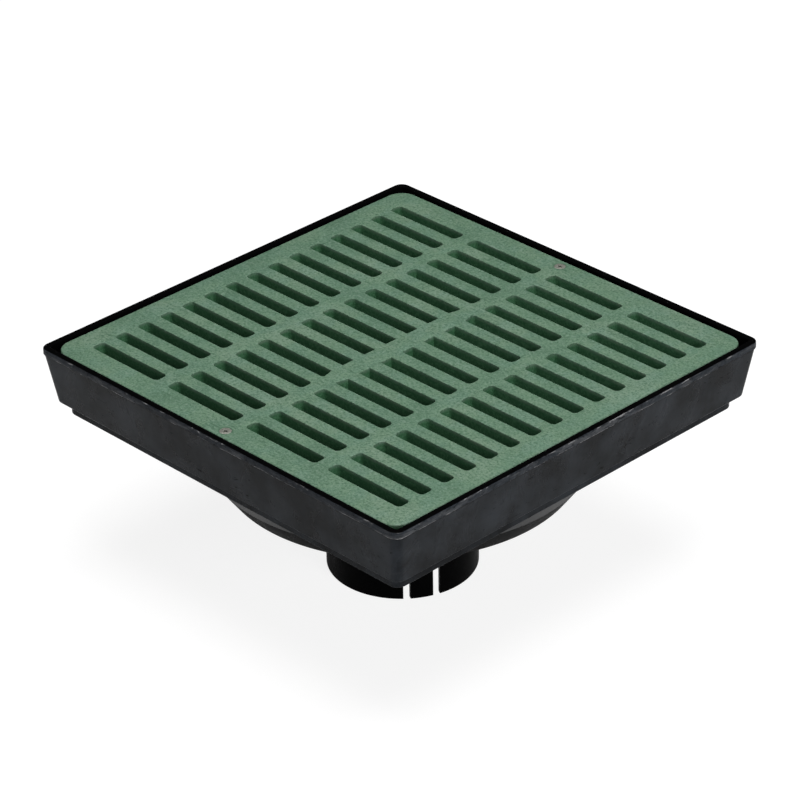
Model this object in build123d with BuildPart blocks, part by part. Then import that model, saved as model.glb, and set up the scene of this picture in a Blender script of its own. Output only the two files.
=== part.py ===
from build123d import *
from math import radians, tan
import os

# Low-profile drain grate: a square catch basin with a round outlet and a screwed-down slotted grate.
# Millimetres. The origin is the centre of the spigot's open end, +Z is up and the slots run along X.

# Spigot and dish
spigot_diameter = 96.0
spigot_reach = 64.7
spigot_root_radius = 4.0
tongue_count = 3
tongue_width = 13.0
tongue_slit_width = 5.4
tongue_slit_length = 34.0
tongue_angle = -30.0
dish_diameter = 243.2
dish_wall_height = 24.4
dish_cone_height = 14.8
dish_cone_inset = 10.7
dish_floor_fall = 4.0
dish_edge_radius = 2.5

# Square frame
wall_thickness = 3.5
rim_width = 4.4
rim_corner_radius = 6.0
rim_inner_corner_radius = 2.0
rim_edge_radius = 0.8
lip_height = 4.3
lip_overhang = 0.5
wall_height = 33.4
wall_draft = 8.2
step_height = 8.6
step_inset = 5.3
wall_foot_radius = 1.0
step_edge_radius = 1.0

# Ledge that carries the grate, its gussets and the screw bosses
ledge_width = 5.9
ledge_thickness = 3.6
gusset_count = 6
gusset_pitch = 44.0
gusset_thickness = 2.6
gusset_height = 15.0
gusset_nose = 2.5
boss_diameter = 10.5
boss_bore_depth = 22.0

# Grate
grate_side = 298.5
grate_corner_radius = 12.0
grate_edge_thickness = 8.0
grate_edge_radius = 1.0
grate_depth = 20.0
grate_recess = 1.2
grate_gap = 1.5
grate_end_margin = 10.95
grate_side_margin = 12.975
grate_fin = 2.5
slot_bands = 4
slot_rows = 15
slot_end_spacing = 9.65
slot_bar_width = 9.17
slot_corner_cut = 1.6
label_bar_width = 14.2
label_bar_flat = 100.0
label_bar_length = 119.0

# Screws
screw_edge_distance = 6.75
screw_head_diameter = 7.4
screw_shank_diameter = 4.2
screw_length = 25.0
screw_tip_length = 3.0
screw_tip_diameter = 1.4
screw_cone_angle = 90.0
screw_recess_depth = 1.3
screw_recess_span = 4.2
screw_recess_blade = 1.1
countersink_margin = 0.25
screw_seat_clearance = 0.1
screw_hole_clearance = 0.2
screw_bore_clearance = 0.05
fin_clearance = 0.6

# Heights above the open end of the spigot
dish_root_z = spigot_reach
dish_foot_z = dish_root_z + dish_floor_fall
cone_top_z = dish_foot_z + dish_cone_height
floor_z = cone_top_z + dish_wall_height
step_top_z = floor_z + step_height
lip_foot_z = step_top_z + wall_height
rim_z = lip_foot_z + lip_height
grate_top_z = rim_z - grate_recess
ledge_z = grate_top_z - grate_edge_thickness
grate_foot_z = grate_top_z - grate_depth

# Sides of the square sections
opening_side = grate_side + 2 * grate_gap
rim_side = opening_side + 2 * rim_width
wall_top_side = rim_side - 2 * lip_overhang
wall_foot_side = wall_top_side - 2 * wall_height * tan(radians(wall_draft))
step_side = wall_foot_side - 2 * step_inset
ledge_opening_side = opening_side - 2 * ledge_width
cavity_corner_radius = rim_corner_radius - wall_thickness / 2

# Pattern of the slots, and the screws in the two side margins
band_pitch = (grate_side - 2 * grate_end_margin) / slot_bands
slot_pitch = (grate_side - 2 * grate_side_margin) / slot_rows
slot_length = band_pitch - slot_end_spacing
slot_width = slot_pitch - slot_bar_width
screw_spacing = grate_side - 2 * screw_edge_distance


def wall_side_at(height):
    """Outer side of the tapered wall at a height, measured square across the frame."""
    return wall_foot_side + 2 * (height - step_top_z) * tan(radians(wall_draft))


# One gusset of the ledge, standing across the X side of the frame
gusset_top_z = ledge_z - ledge_thickness
gusset_foot_z = gusset_top_z - gusset_height
gusset_root = wall_side_at(gusset_foot_z) / 2 - wall_thickness / 2
with BuildPart() as gusset:
    with BuildSketch(Plane.XZ):
        with BuildLine():
            Polyline(
                (gusset_root, gusset_foot_z),
                (gusset_root, gusset_top_z),
                (ledge_opening_side / 2, gusset_top_z),
                (ledge_opening_side / 2, gusset_top_z - gusset_nose),
                close=True,
            )
        make_face()
    extrude(amount=gusset_thickness / 2, both=True)

# One slit of a tongue, round at its closed end and open at the end of the spigot
dish_radius = dish_diameter / 2
dish_foot_radius = dish_radius - dish_cone_inset
spigot_radius = spigot_diameter / 2
with BuildPart() as slit:
    with BuildSketch(Plane.YZ.offset(spigot_radius - 2 * wall_thickness)):
        with Locations((0, tongue_slit_length - tongue_slit_width / 2)):
            Circle(tongue_slit_width / 2)
        Rectangle(
            tongue_slit_width,
            tongue_slit_length - tongue_slit_width / 2,
            align=(Align.CENTER, Align.MIN),
        )
    extrude(amount=3 * wall_thickness)

# The moulded basin: square frame, step, floor, dish and spigot in one piece
with BuildPart() as basin_body:
    with BuildSketch(Plane.XY.offset(step_top_z)):
        RectangleRounded(wall_foot_side, wall_foot_side, rim_corner_radius)
    with BuildSketch(Plane.XY.offset(lip_foot_z)):
        RectangleRounded(wall_top_side, wall_top_side, rim_corner_radius)
    loft(ruled=True)
    fillet(basin_body.faces().sort_by(Axis.Z)[0].edges(), wall_foot_radius)
    with BuildSketch(Plane.XY.offset(lip_foot_z)):
        RectangleRounded(rim_side, rim_side, rim_corner_radius)
    extrude(amount=lip_height)
    with BuildSketch(Plane.XY.offset(floor_z)):
        RectangleRounded(step_side, step_side, rim_corner_radius)
    extrude(amount=step_height)
    fillet(basin_body.faces().sort_by(Axis.Z)[-1].edges(), rim_edge_radius)
    fillet(basin_body.faces().sort_by(Axis.Z)[0].edges(), step_edge_radius)

    # Hollow above the floor: inside the step, inside the wall, and the seat of the grate
    shelf_z = step_top_z + wall_thickness
    shelf_side = wall_side_at(shelf_z) - 2 * wall_thickness
    ledge_side = wall_side_at(ledge_z) - 2 * wall_thickness
    with BuildSketch(Plane.XY.offset(floor_z + wall_thickness)):
        RectangleRounded(
            step_side - 2 * wall_thickness, step_side - 2 * wall_thickness, cavity_corner_radius
        )
    extrude(amount=step_height, mode=Mode.SUBTRACT)
    with BuildSketch(Plane.XY.offset(shelf_z)):
        RectangleRounded(shelf_side, shelf_side, cavity_corner_radius)
    with BuildSketch(Plane.XY.offset(ledge_z)):
        RectangleRounded(ledge_side, ledge_side, cavity_corner_radius)
    loft(ruled=True, mode=Mode.SUBTRACT)
    with BuildSketch(Plane.XY.offset(ledge_z)):
        RectangleRounded(opening_side, opening_side, rim_inner_corner_radius)
    extrude(amount=rim_z - ledge_z, mode=Mode.SUBTRACT)

    # Ledge, bedded half a wall deep in the frame
    ledge_bed_side = wall_side_at(ledge_z - ledge_thickness) - wall_thickness
    with BuildSketch(Plane.XY.offset(ledge_z)):
        RectangleRounded(ledge_bed_side, ledge_bed_side, cavity_corner_radius)
        RectangleRounded(
            ledge_opening_side, ledge_opening_side, cavity_corner_radius, mode=Mode.SUBTRACT
        )
    extrude(amount=-ledge_thickness)

    # Gussets under the ledge, on all four sides
    with PolarLocations(0, 4):
        with GridLocations(0, gusset_pitch, 1, gusset_count):
            add(gusset.part)

    # Screw bosses, tied to the wall
    boss_reach = wall_side_at(shelf_z) / 2 - wall_thickness / 2 - screw_spacing / 2
    with BuildSketch(Plane.XY.offset(shelf_z)):
        for end in (-1, 1):
            with Locations((0, end * screw_spacing / 2)):
                Circle(boss_diameter / 2)
            with Locations((0, end * (screw_spacing + boss_reach) / 2)):
                Rectangle(boss_diameter, boss_reach)
    extrude(amount=ledge_z - shelf_z)
    with Locations(Plane.XY.offset(ledge_z)):
        with GridLocations(0, screw_spacing, 1, 2):
            Hole(screw_shank_diameter / 2 + screw_bore_clearance, depth=boss_bore_depth)

    # Round opening in the floor
    with Locations(Plane.XY.offset(floor_z + wall_thickness)):
        Hole(dish_diameter / 2 - wall_thickness / 2, depth=wall_thickness)

    # Dish and spigot: the outer line is drawn, then thickened inwards
    with BuildSketch(Plane.XZ) as dish_section:
        with BuildLine():
            outer_line = Polyline(
                (dish_radius, floor_z + wall_thickness),
                (dish_radius, cone_top_z),
                (dish_foot_radius, dish_foot_z),
                (spigot_radius, dish_root_z),
                (spigot_radius, 0),
            )
            offset(
                outer_line,
                amount=wall_thickness,
                kind=Kind.INTERSECTION,
                side=Side.RIGHT,
                closed=True,
            )
        make_face()
        section_corners = dish_section.vertices()
        fillet(section_corners.sort_by_distance((dish_foot_radius, dish_foot_z))[0], dish_edge_radius)
        fillet(section_corners.sort_by_distance((spigot_radius, dish_root_z))[0], spigot_root_radius)
    revolve(axis=Axis.Z)

    # Tongues: a pair of slits each
    with PolarLocations(0, tongue_count, start_angle=tongue_angle):
        with GridLocations(0, tongue_width + tongue_slit_width, 1, 2):
            add(slit.part, mode=Mode.SUBTRACT)

basin_body.part.label = "basin_body"

# Outline of one slot, with its corners cut back
with BuildSketch() as slot_outline:
    Rectangle(slot_length, slot_width)
    chamfer(slot_outline.vertices(), slot_corner_cut)

# The moulded grate: a plate with slots through it, on a grid of fins
fins_length = slot_bands * band_pitch + grate_fin
fins_width = screw_spacing - boss_diameter - 2 * fin_clearance
with BuildPart() as grate:
    with BuildSketch(Plane.XY.offset(ledge_z)):
        RectangleRounded(grate_side, grate_side, grate_corner_radius)
    extrude(amount=grate_edge_thickness)
    fillet(grate.faces().sort_by(Axis.Z)[-1].edges(), grate_edge_radius)

    # Fins between the slots, with one open cell under each slot
    with BuildSketch(Plane.XY.offset(grate_foot_z)):
        Rectangle(fins_length, fins_width)
        with GridLocations(band_pitch, slot_pitch, slot_bands, slot_rows):
            Rectangle(band_pitch - grate_fin, slot_pitch - grate_fin, mode=Mode.SUBTRACT)
    extrude(amount=grate_depth - grate_edge_thickness)

    # Slots
    with BuildSketch(Plane.XY.offset(grate_top_z)):
        with GridLocations(band_pitch, slot_pitch, slot_bands, slot_rows):
            add(slot_outline.sketch)
    extrude(amount=-grate_edge_thickness, mode=Mode.SUBTRACT)

    # Plain bar across the middle, tapering to the width of the rib at its two ends
    with BuildSketch(Plane.XY.offset(ledge_z)):
        with BuildLine():
            Polyline(
                (-label_bar_width / 2, -label_bar_flat / 2),
                (-slot_end_spacing / 2, -label_bar_length / 2),
                (slot_end_spacing / 2, -label_bar_length / 2),
                (label_bar_width / 2, -label_bar_flat / 2),
                (label_bar_width / 2, label_bar_flat / 2),
                (slot_end_spacing / 2, label_bar_length / 2),
                (-slot_end_spacing / 2, label_bar_length / 2),
                (-label_bar_width / 2, label_bar_flat / 2),
                close=True,
            )
        make_face()
    extrude(amount=grate_edge_thickness)

    # Countersunk screw holes
    with Locations(Plane.XY.offset(grate_top_z)):
        with GridLocations(0, screw_spacing, 1, 2):
            CounterSinkHole(
                radius=screw_shank_diameter / 2 + screw_hole_clearance,
                counter_sink_radius=screw_head_diameter / 2 + countersink_margin,
                depth=grate_edge_thickness,
                counter_sink_angle=screw_cone_angle,
            )

grate.part.label = "grate"

# Two countersunk screws, with a cross recess and a pointed tip
head_radius = screw_head_diameter / 2
shank_radius = screw_shank_diameter / 2
head_top_z = grate_top_z - countersink_margin + screw_seat_clearance
head_height = (head_radius - shank_radius) / tan(radians(screw_cone_angle / 2))
hung = (Align.CENTER, Align.CENTER, Align.MAX)
with BuildPart() as grate_screws:
    with Locations(Plane.XY.offset(head_top_z)):
        with GridLocations(0, screw_spacing, 1, 2):
            Cone(shank_radius, head_radius, head_height, align=hung)
            Cylinder(shank_radius, screw_length - screw_tip_length, align=hung)
    with Locations(Plane.XY.offset(head_top_z - screw_length + screw_tip_length)):
        with GridLocations(0, screw_spacing, 1, 2):
            Cone(screw_tip_diameter / 2, shank_radius, screw_tip_length, align=hung)
    with BuildSketch(Plane.XY.offset(head_top_z)):
        with GridLocations(0, screw_spacing, 1, 2):
            Rectangle(screw_recess_span, screw_recess_blade)
            Rectangle(screw_recess_blade, screw_recess_span)
    extrude(amount=-screw_recess_depth, mode=Mode.SUBTRACT)

grate_screws.part.label = "grate_screws"

os.makedirs("parts", exist_ok=True)
export_step(basin_body.part, "parts/basin_body.step")
export_step(grate.part, "parts/grate.step")
export_step(grate_screws.part, "parts/grate_screws.step")
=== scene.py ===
from math import atan2, cos, pi, radians, sin, tan

import bmesh
import bpy
import numpy as np
from bpy.props import FloatProperty, FloatVectorProperty, IntProperty, PointerProperty
from mathutils import Matrix, Vector


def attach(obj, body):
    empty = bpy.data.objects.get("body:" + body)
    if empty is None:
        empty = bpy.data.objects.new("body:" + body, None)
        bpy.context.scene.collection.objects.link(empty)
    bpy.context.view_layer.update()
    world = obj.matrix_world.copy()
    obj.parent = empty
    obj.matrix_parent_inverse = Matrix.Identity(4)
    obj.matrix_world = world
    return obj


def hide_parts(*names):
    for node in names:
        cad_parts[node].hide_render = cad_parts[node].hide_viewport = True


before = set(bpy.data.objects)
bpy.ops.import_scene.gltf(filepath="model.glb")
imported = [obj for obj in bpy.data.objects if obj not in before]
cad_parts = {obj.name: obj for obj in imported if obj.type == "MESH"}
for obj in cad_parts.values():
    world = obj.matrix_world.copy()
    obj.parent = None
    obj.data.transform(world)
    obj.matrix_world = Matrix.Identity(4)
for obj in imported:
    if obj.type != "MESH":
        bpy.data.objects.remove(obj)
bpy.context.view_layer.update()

bl_info = {
    "name": "Low-profile drain grate",
    "version": (1, 0, 0),
    "blender": (4, 5, 0),
    "location": "3D View > Sidebar > Drain grate",
    "description": "Dresses a moulded drain basin, its slotted grate and its screws, and lights them",
    "category": "Object",
}

MM = 0.001
WELD = 0.001 * MM
SMOOTH_ANGLE = radians(38)

# Steps round the basin: along a side, round a corner, and half the side of the square that spaces them
SIDE_STEPS, CORNER_STEPS, SPACING_HALF = 104, 12, 150.0
# Steps or points of a small rounding, a boss's or slit's half circle, a bore, a countersink and the floor
ROUND_STEPS, BEND_POINTS, BORE_STEPS, COUNTERSINK_STEPS, FLOOR_STEPS = 4, 17, 32, 48, 96
# Points of the grate's corners, steps of a slot's corner, points of the cross recess and steps of a thread's turn
CORNER_POINTS, SLOT_STEPS, FLANK_POINTS, BLADE_POINTS, THREAD_STEPS = 25, 8, 15, 5, 12
# In millimetres: how far ribs run into the walls, how far cutters run past a face, and what counts as at an edge
SUNK, PAST, NEAR = 0.5, 1.0, 0.3
# Sines summed for a ripple, and about how far such a sum spreads to each side
SINES, SINES_SPREAD = 24, 7
# Least length or sine that anything is divided by
TINY = 1e-9
# Depth of the waves in the lip's lower edge and the rim's outer edge, their turns round it and the seed of their draw
LIP_WAVE, LIP_RIPPLE = 0.16, ((40, 230), 5)
RIM_WAVE, RIM_RIPPLE = 0.10, ((30, 230), 9)
# Floor's own light for each share of its lit light that it takes the place of
GLOW_GAIN = 1.15
# Width, depth, place and aim of each lamp, in metres
TOP_LAMP = (1.5, 1.5, (0.3, -0.1, 2.3), (0.0, 0.0, 0.1))
SIDE_LAMP = (1.2, 0.8, (2.95, -0.5, 1.3), (0.0, 0.0, 0.05))


# Sizes and colours that a user would change

def size(name, description, length):
    """A length property, in metres as Blender keeps it, written here in millimetres."""
    return FloatProperty(
        name=name, description=description, default=length * MM, min=0.0, unit="LENGTH", precision=5
    )


def colour(name, description, value):
    """A colour property, in linear red, green and blue."""
    return FloatVectorProperty(
        name=name, description=description, default=value, size=3, min=0.0, max=1.0, subtype="COLOR"
    )


def share(name, description, value):
    """A number from 0 to 1."""
    return FloatProperty(name=name, description=description, default=value, min=0.0, max=1.0, subtype="FACTOR")


def power(name, description, watts):
    """Power of a lamp."""
    return FloatProperty(name=name, description=description, default=watts, min=0.0, unit="POWER")


def angle(name, description, turn):
    """An angle, in radians as Blender keeps it, written here in degrees."""
    return FloatProperty(name=name, description=description, default=radians(turn), unit="ROTATION")


def count(name, description, value):
    """A whole number of like parts."""
    return IntProperty(name=name, description=description, default=value, min=1)


class BasinSettings(bpy.types.PropertyGroup):
    """Sizes of the moulded basin, from its spigot up to its rim."""

    spigot_radius: size("Spigot radius", "Outside radius of the outlet spigot", 48.0)
    spigot_reach: size("Spigot reach", "Length of the spigot below the dish", 64.7)
    root_radius: size("Spigot root", "Rounding between spigot and dish", 4.0)
    tongue_width: size("Tongue width", "Width of each tongue between its two slits", 14.4)
    slit_width: size("Slit width", "Width of each slit in the spigot", 4.5)
    slit_length: size("Slit length", "Length of each slit up the spigot", 34.0)
    tongue_turn: angle("Tongue turn", "Direction of the first tongue", -30.0)
    tongue_count: count("Tongues", "Number of tongues", 3)
    dish_radius: size("Dish radius", "Outside radius of the round dish", 121.6)
    dish_fall: size("Dish fall", "Fall of the dish's floor towards the spigot", 4.0)
    cone_height: size("Cone height", "Height of the cone at the foot of the dish", 14.8)
    cone_inset: size("Cone inset", "How far the cone draws in below the dish's wall", 10.7)
    dish_height: size("Dish height", "Height of the dish's upright wall", 24.4)
    step_height: size("Step height", "Height of the step under the walls", 8.6)
    step_inset: size("Step inset", "How far the step stands in from the foot of the walls", 5.3)
    wall_height: size("Wall height", "Height of the sloping walls below the lip", 33.4)
    wall_draft: angle("Wall draft", "Slope of the walls from upright", 8.2)
    wall_thickness: size("Wall thickness", "Thickness of the moulding", 3.5)
    lip_height: size("Lip height", "Height of the lip round the rim", 4.3)
    lip_overhang: size("Lip overhang", "How far the lip stands out over the walls", 0.5)
    rim_width: size("Rim width", "Width of the rim's flat top", 4.4)
    corner_radius: size("Corner radius", "Rounding of the basin's upright corners", 6.0)
    seat_corner: size("Seat corner", "Rounding of the corners that the grate sits in", 2.0)
    cavity_corner: size("Cavity corner", "Rounding of the hollow's upright corners", 4.25)
    ledge_width: size("Ledge width", "Width of the ledge that carries the grate", 5.9)
    ledge_thickness: size("Ledge thickness", "Thickness of that ledge", 3.6)
    gusset_count: count("Gussets", "Gussets under each side's ledge", 6)
    gusset_pitch: size("Gusset pitch", "Distance between gussets", 44.0)
    gusset_thickness: size("Gusset thickness", "Thickness of each gusset", 2.6)
    gusset_height: size("Gusset height", "Height of each gusset at the wall", 15.0)
    gusset_nose: size("Gusset nose", "Height of each gusset at the ledge's edge", 2.5)
    boss_radius: size("Boss radius", "Radius of the two screw bosses", 5.25)
    boss_bore: size("Boss bore", "Radius of the hole in each boss", 2.15)
    boss_bore_depth: size("Boss bore depth", "Depth of that hole", 22.0)


class GrateSettings(bpy.types.PropertyGroup):
    """Sizes of the slotted grate."""

    side: size("Side", "Side of the square grate", 298.5)
    corner_radius: size("Corner radius", "Rounding of its corners", 12.0)
    edge_radius: size("Edge radius", "Rounding of its top edge", 1.0)
    plate_thickness: size("Plate thickness", "Thickness of the slotted plate", 8.0)
    depth: size("Depth", "Depth over the fins below the plate", 20.0)
    recess: size("Recess", "How far the grate lies below the rim", 1.2)
    gap: size("Gap", "Gap between the grate and the rim", 1.5)
    bands: count("Bands", "Slots across the grate", 4)
    rows: count("Rows", "Slots along the grate", 15)
    end_margin: size("End margin", "Margin beside the slots' ends", 10.95)
    side_margin: size("Side margin", "Margin beside the outer slots", 12.975)
    end_spacing: size("End spacing", "Distance between the ends of two slots", 9.65)
    bar_width: size("Bar width", "Width of the bar between two slots", 9.17)
    slot_corner: size("Slot corner", "Rounding of the slots' corners", 2.7)
    slot_edge: size("Slot edge", "Rounding of the slots' upper edge", 0.45)
    fin: size("Fin", "Thickness of the fins below the plate", 2.5)
    fin_width: size("Fins' width", "Outside width of the fins, across the screws", 273.3)
    middle_width: size("Middle bar width", "Width of the plain bar in the middle", 14.2)
    middle_flat: size("Middle bar flat", "Length of that bar at its full width", 100.0)
    middle_length: size("Middle bar length", "Length of that bar over its tapers", 119.0)


class ScrewSettings(bpy.types.PropertyGroup):
    """Sizes of the two countersunk screws."""

    edge_distance: size("Edge distance", "From the grate's edge to each screw", 6.75)
    head_radius: size("Head radius", "Radius of the head", 3.7)
    shank_radius: size("Shank radius", "Radius over the thread", 2.1)
    core_radius: size("Core radius", "Radius under the thread", 1.5)
    length: size("Length", "Length of the screw", 25.0)
    tip_length: size("Tip length", "Length of its pointed tip", 3.0)
    tip_radius: size("Tip radius", "Radius of its blunt point", 0.7)
    pitch: size("Pitch", "Pitch of the thread", 1.8)
    sink: size("Sink", "Depth of the head below the grate's face", 0.15)
    hole_radius: size("Hole radius", "Radius of the hole in the grate", 2.3)
    countersink_radius: size("Countersink radius", "Radius of the countersink's mouth", 3.95)
    recess_depth: size("Recess depth", "Depth of the cross recess", 1.3)
    recess_span: size("Recess span", "Span of the cross recess", 3.6)
    recess_blade: size("Recess blade", "Width of the cross recess's arms", 0.9)


class FinishSettings(bpy.types.PropertyGroup):
    """Colours and roughness of the moulded plastics, the screws and the floor."""

    grate_green: colour("Grate green", "Colour of the green plastic", (0.103, 0.186, 0.121))
    grate_warm: colour("Grate warm", "Its warmer, yellower mottling", (0.110, 0.187, 0.117))
    grate_cool: colour("Grate cool", "Its cooler, bluer mottling", (0.099, 0.182, 0.125))
    grate_dark: colour("Grate dark", "Its darker specks and blotches", (0.052, 0.110, 0.066))
    grate_pale: colour("Grate pale", "Its pale scuffs", (0.185, 0.260, 0.205))
    # The two slot colours are painted shade: the green inside the slots darkened, with a lighter mottle in it
    grate_slot_shade: colour("Grate deep green", "Colour inside the slots", (0.025, 0.095, 0.040))
    grate_slot_shade_mottle: colour("Grate moss green", "Lighter mottling inside the slots", (0.052, 0.148, 0.072))
    basin_black: colour("Basin black", "Colour of the black plastic", (0.0038, 0.0046, 0.0056))
    # Colour of the dust, which on the lip band also stands for a painted reflection
    basin_dust_and_reflection: colour("Basin dust", "Colour of its dust", (0.031, 0.036, 0.043))
    # Colour of the lip's scuffs and of the painted highlights along the lip's foot and the rim's outer edge
    basin_scuff_and_highlight: colour("Basin scuff", "Colour of the scuffs along its lip", (0.240, 0.240, 0.245))
    # Colour of darker marks, and of painted shade under the lip, on the rim and on the outlet
    basin_marks_and_shade: colour("Basin dark", "Colour of its darker marks", (0.0012, 0.0012, 0.0013))
    wall_sheen: share("Wall sheen", "Mirrored light of the walls", 0.036)
    rim_sheen: share("Rim sheen", "Mirrored light of the rim's top", 0.015)
    dish_sheen: share("Dish sheen", "Mirrored light of the dish's upright wall", 0.6)
    outlet_sheen: share("Outlet sheen", "Mirrored light of the cone and the spigot", 0.03)
    screw_steel: colour("Screw steel", "Colour of the screws", (0.38, 0.39, 0.34))
    # Painted shade in the cross recess
    screw_recess_shade: colour("Screw recess", "Dirt in the cross recess", (0.012, 0.014, 0.012))
    floor_white: colour("Floor white", "Colour of the floor and backdrop", (0.86, 0.86, 0.86))


class StageSettings(bpy.types.PropertyGroup):
    """Camera, lamps and floor."""

    lens: FloatProperty(name="Lens", description="Focal length on a 36 mm sensor", default=161.7, unit="CAMERA")
    distance: size("Distance", "From the camera to the point it aims at", 2127.0)
    azimuth: angle("Azimuth", "Turn of the camera round the object", 45.9)
    elevation: angle("Elevation", "Height of the camera above level", 30.0)
    roll: angle("Roll", "Roll of the camera", -0.958)
    aim: FloatVectorProperty(
        name="Aim", description="Point the camera aims at", default=(0.04828, -0.04689, 0.1533), unit="LENGTH"
    )
    floor_glow: share("Floor glow", "Share of the floor's light that is its own, as the camera sees it", 0.75)
    mirror_share: share("Mirror share", "How much of that light mirrored rays see", 0.1)
    floor_radius: size("Floor radius", "Radius of the floor before it turns up", 3600.0)
    backdrop_height: size("Backdrop height", "Height of the floor's turned-up edge", 900.0)
    room_level: share("Room", "Brightness of the dim room", 0.04)
    top_power: power("Top lamp", "Power of the overhead lamp", 60.5)
    side_power: power("Side lamp", "Power of the lamp beside", 42.0)


# Surfaces worked out as whole arrays

def millimetres(*values):
    """Lengths kept in metres, as an array in millimetres."""
    return np.array(values, dtype=float) / MM


def grid_faces(rows, columns, wrap_rows=False, wrap_columns=False):
    """Quads of a grid of points, numbered along its rows: each point with the next one in both directions."""
    i, j = np.meshgrid(
        np.arange(rows if wrap_rows else rows - 1),
        np.arange(columns if wrap_columns else columns - 1),
        indexing="ij",
    )
    below, beside = (i + 1) % rows, (j + 1) % columns
    corners = (i * columns + j, below * columns + j, below * columns + beside, i * columns + beside)
    return np.stack(corners, axis=-1).reshape(-1, 4)


def rounded_path(points, radii):
    """A closed path in a plane with rounded corners, as ROUND_STEPS + 1 points for each corner.

    Let a and b be the unit directions from a corner p to its neighbours and w the angle between them. The arc of
    radius r has its centre at p + (a + b) / |a + b| * r / sin(w / 2), and touches the two runs at a distance
    r / tan(w / 2) from p. Its points turn evenly from the one touch to the other.
    """
    before = np.roll(points, 1, axis=0) - points
    after = np.roll(points, -1, axis=0) - points
    before /= np.linalg.norm(before, axis=1, keepdims=True)
    after /= np.linalg.norm(after, axis=1, keepdims=True)
    middle = before + after
    middle /= np.maximum(np.linalg.norm(middle, axis=1, keepdims=True), TINY)
    half = np.arccos(np.clip(np.sum(before * after, axis=1), -1, 1))[:, None] / 2
    radii = np.asarray(radii, dtype=float)[:, None]
    centre = points + middle * radii / np.sin(half)
    first = points + before * radii / np.tan(half) - centre
    last = points + after * radii / np.tan(half) - centre
    turn = (pi - 2 * half)[:, None, :]
    step = np.linspace(0, 1, ROUND_STEPS + 1)[None, :, None]
    swept = first[:, None] * np.sin((1 - step) * turn) + last[:, None] * np.sin(step * turn)
    return (centre[:, None] + swept / np.maximum(np.sin(turn), TINY)).reshape(-1, 2)


def inset_path(points, thickness):
    """An open path moved to its left by a thickness.

    A corner between runs with the left normals n and m moves by thickness * (n + m) / (1 + n . m).
    """
    runs = np.diff(points, axis=0)
    normals = np.stack([-runs[:, 1], runs[:, 0]], axis=1) / np.linalg.norm(runs, axis=1, keepdims=True)
    before, after = np.vstack([normals[:1], normals]), np.vstack([normals, normals[-1:]])
    return points + thickness * (before + after) / (1 + np.sum(before * after, axis=1, keepdims=True))


def raised(plan, levels):
    """Points of a plan, in rows, with the level of each row as their z."""
    height = np.broadcast_to(np.asarray(levels)[:, None, None], plan.shape[:-1] + (1,))
    return np.concatenate([plan, height], axis=-1)


def directions(turn):
    """Unit directions in the XY plane at the given angles."""
    return np.stack([np.cos(turn), np.sin(turn)], axis=-1)


def rounded_edge(radius):
    """How far a rounded edge stands off its side, and how far down it is, at each of its points from its top."""
    turn = np.linspace(0, pi / 2, ROUND_STEPS + 1)
    return radius * (1 - np.sin(turn)), radius * (1 - np.cos(turn))


def prism(outline, low, high):
    """Points and faces of an outline in the XY plane, carried from z = low to z = high.

    Each end is closed by a ring that has shrunk to the outline's middle.
    """
    middle = np.broadcast_to(outline.mean(axis=0), outline.shape)
    points = raised(np.stack([middle, outline, outline, middle]), (low, low, high, high))
    return points.reshape(-1, 3), grid_faces(4, len(outline), wrap_columns=True)


def lathe(radii, heights, steps, start=0.5):
    """Points and faces of a profile turned about Z, from a radius and a height for each row.

    The points start at this share of a step from X. At a half, none lies on a middle plane.
    """
    turn = (np.arange(steps) + start) * 2 * pi / steps
    points = raised(np.array(radii)[:, None, None] * directions(turn), heights)
    return points.reshape(-1, 3), grid_faces(len(radii), steps, wrap_columns=True)


def turned(points, turn, shift=(0, 0, 0)):
    """Points shifted and then turned about Z by an angle."""
    c, s = cos(turn), sin(turn)
    return (points + np.array(shift)) @ np.array([[c, s, 0], [-s, c, 0], [0, 0, 1]])


def joined(shells):
    """Several (points, faces) shells as one."""
    starts = np.cumsum([0] + [len(points) for points, _ in shells[:-1]])
    faces = [shell + start for start, (_, shell) in zip(starts, shells)]
    return np.concatenate([points for points, _ in shells]), np.concatenate(faces)


def ripple(steps, waves, seed):
    """An uneven wave round a closed ring, between about -1 and 1: a sum of sines with whole numbers of turns."""
    draw = np.random.default_rng(seed)
    turns, phases = draw.integers(*waves, SINES)[:, None], draw.uniform(0, 2 * pi, SINES)[:, None]
    return np.sin(2 * pi * turns * np.arange(steps) / steps + phases).sum(axis=0) / SINES_SPREAD


# Blender objects

def mesh_object(name, points, faces):
    """An object at the origin from points in millimetres, welded, with its normals turned outward."""
    mesh = bpy.data.meshes.new(name)
    mesh.from_pydata((points * MM).tolist(), [], faces.tolist())
    welded = bmesh.new()
    welded.from_mesh(mesh)
    bmesh.ops.remove_doubles(welded, verts=welded.verts, dist=WELD)
    bmesh.ops.recalc_face_normals(welded, faces=welded.faces)
    welded.to_mesh(mesh)
    welded.free()
    made = bpy.data.objects.new(name, mesh)
    bpy.context.scene.collection.objects.link(made)
    return made


def combine(obj, tool, operation):
    """Joins the tool to obj or cuts it out, and removes the tool."""
    modifier = obj.modifiers.new(operation, "BOOLEAN")
    modifier.object, modifier.operation, modifier.solver = tool, operation, "EXACT"
    evaluated = obj.evaluated_get(bpy.context.evaluated_depsgraph_get())
    result, before = bpy.data.meshes.new_from_object(evaluated), obj.data
    obj.modifiers.clear()
    obj.data = result
    bpy.data.meshes.remove(before)
    bpy.data.meshes.remove(tool.data)


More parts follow.
